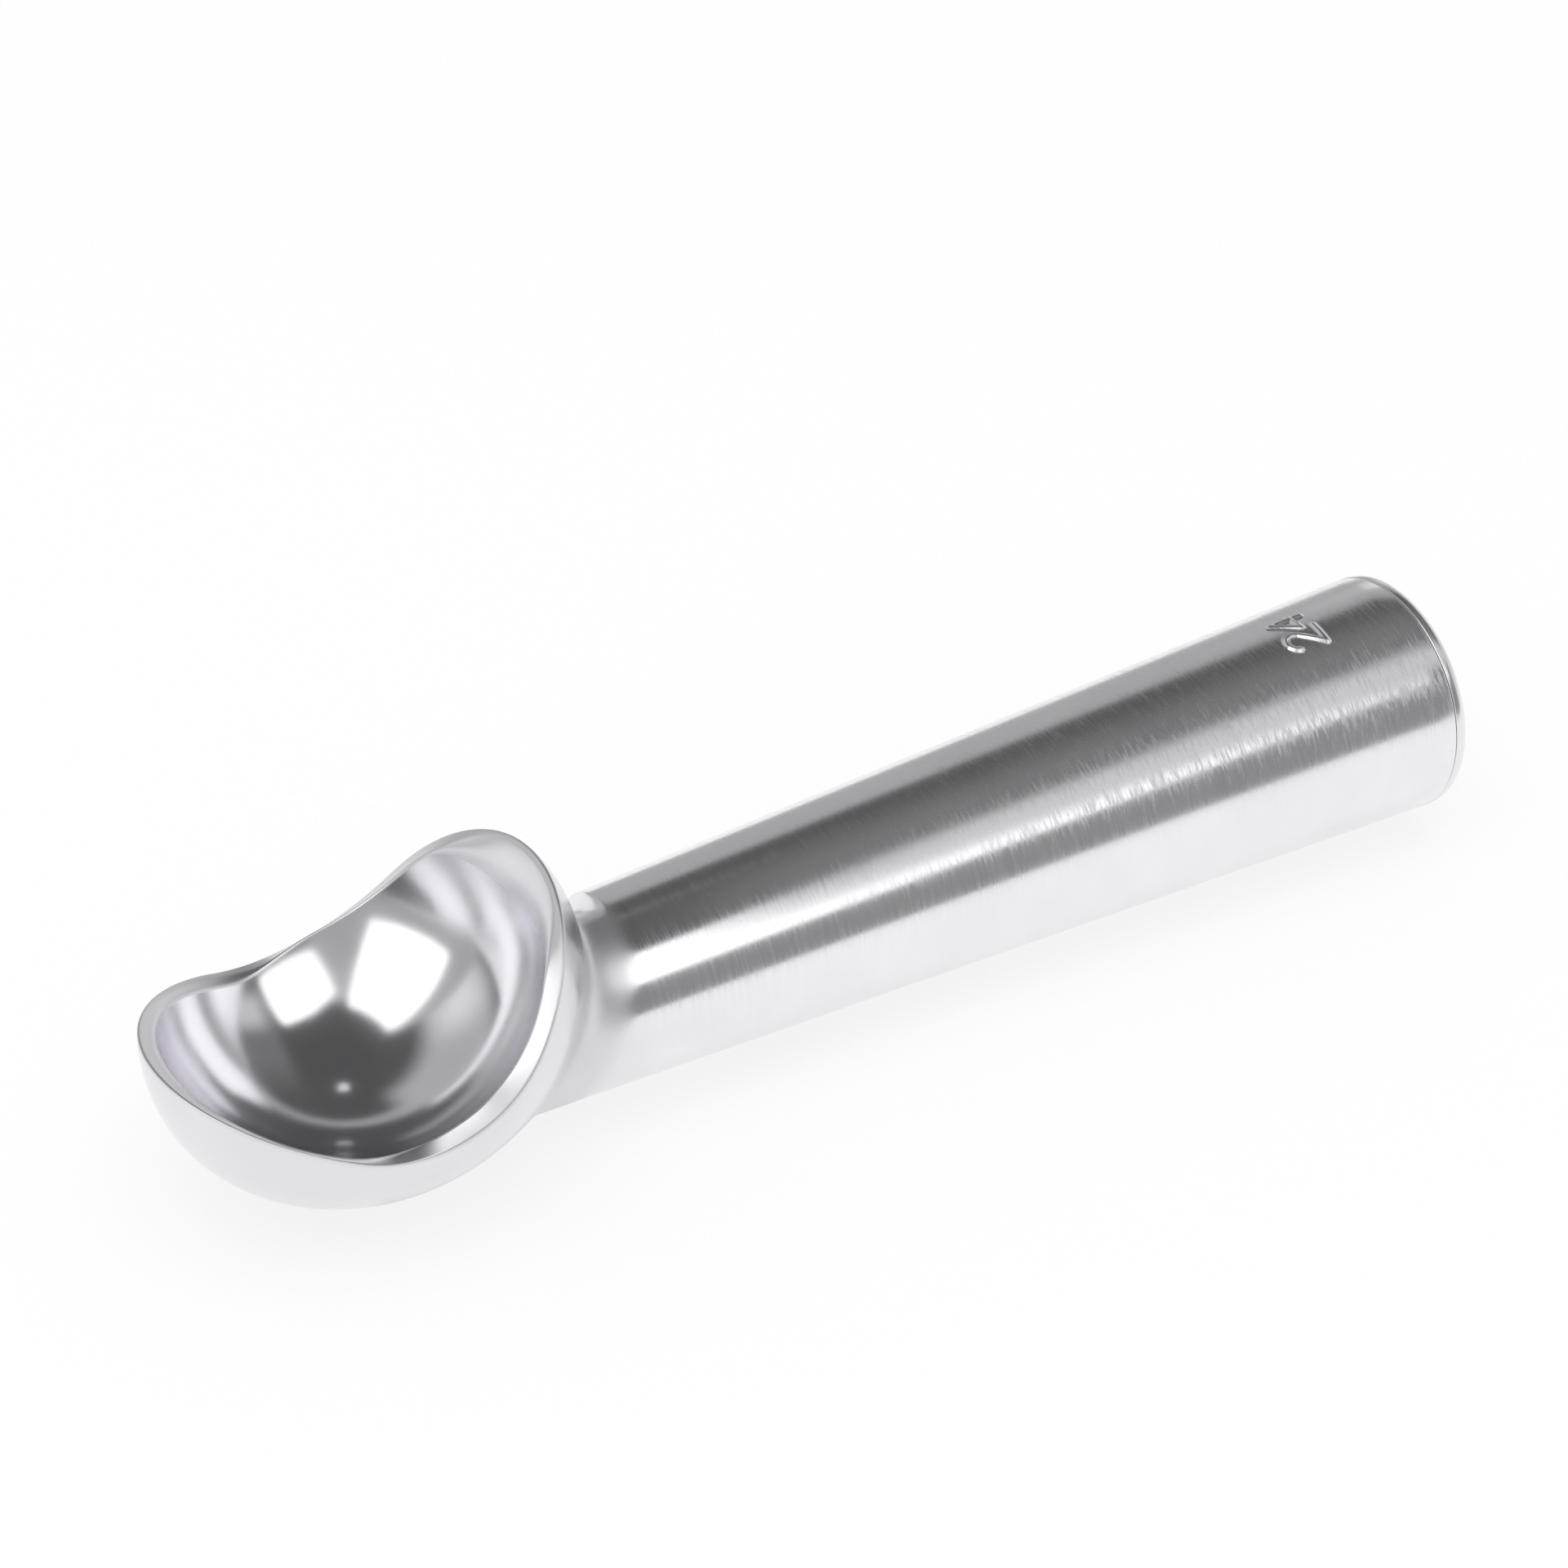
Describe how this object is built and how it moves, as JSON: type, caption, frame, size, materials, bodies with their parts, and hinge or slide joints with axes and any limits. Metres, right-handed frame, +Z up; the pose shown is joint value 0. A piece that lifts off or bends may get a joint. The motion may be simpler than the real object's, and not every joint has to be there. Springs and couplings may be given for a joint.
{
  "type": "ice cream scoop",
  "caption": "Lying ice cream scoop with an oval cup cast in one with a tapered hollow handle, closed by a plug cap with a seal ring, holding heat transfer fluid.",
  "frame": {"origin": "under the middle of the scoop's box, on the surface that it lies on", "axes": "+X along the length from the bowl towards the butt, +Z up out of the bowl's mouth, +Y across"},
  "size_m": [0.181, 0.042, 0.0385],
  "materials": {
    "cast_aluminium": "polished casting with fine brush marks around the handle",
    "turned_aluminium": "turned and polished",
    "seal_rubber": "matt black",
    "fluid": "clear liquid"
  },
  "bodies": {
    "root": {"scoop_body": "cast_aluminium", "end_cap": "turned_aluminium", "seal_ring": "seal_rubber", "heat_transfer_fluid": "fluid"}
  },
  "joints": []
}
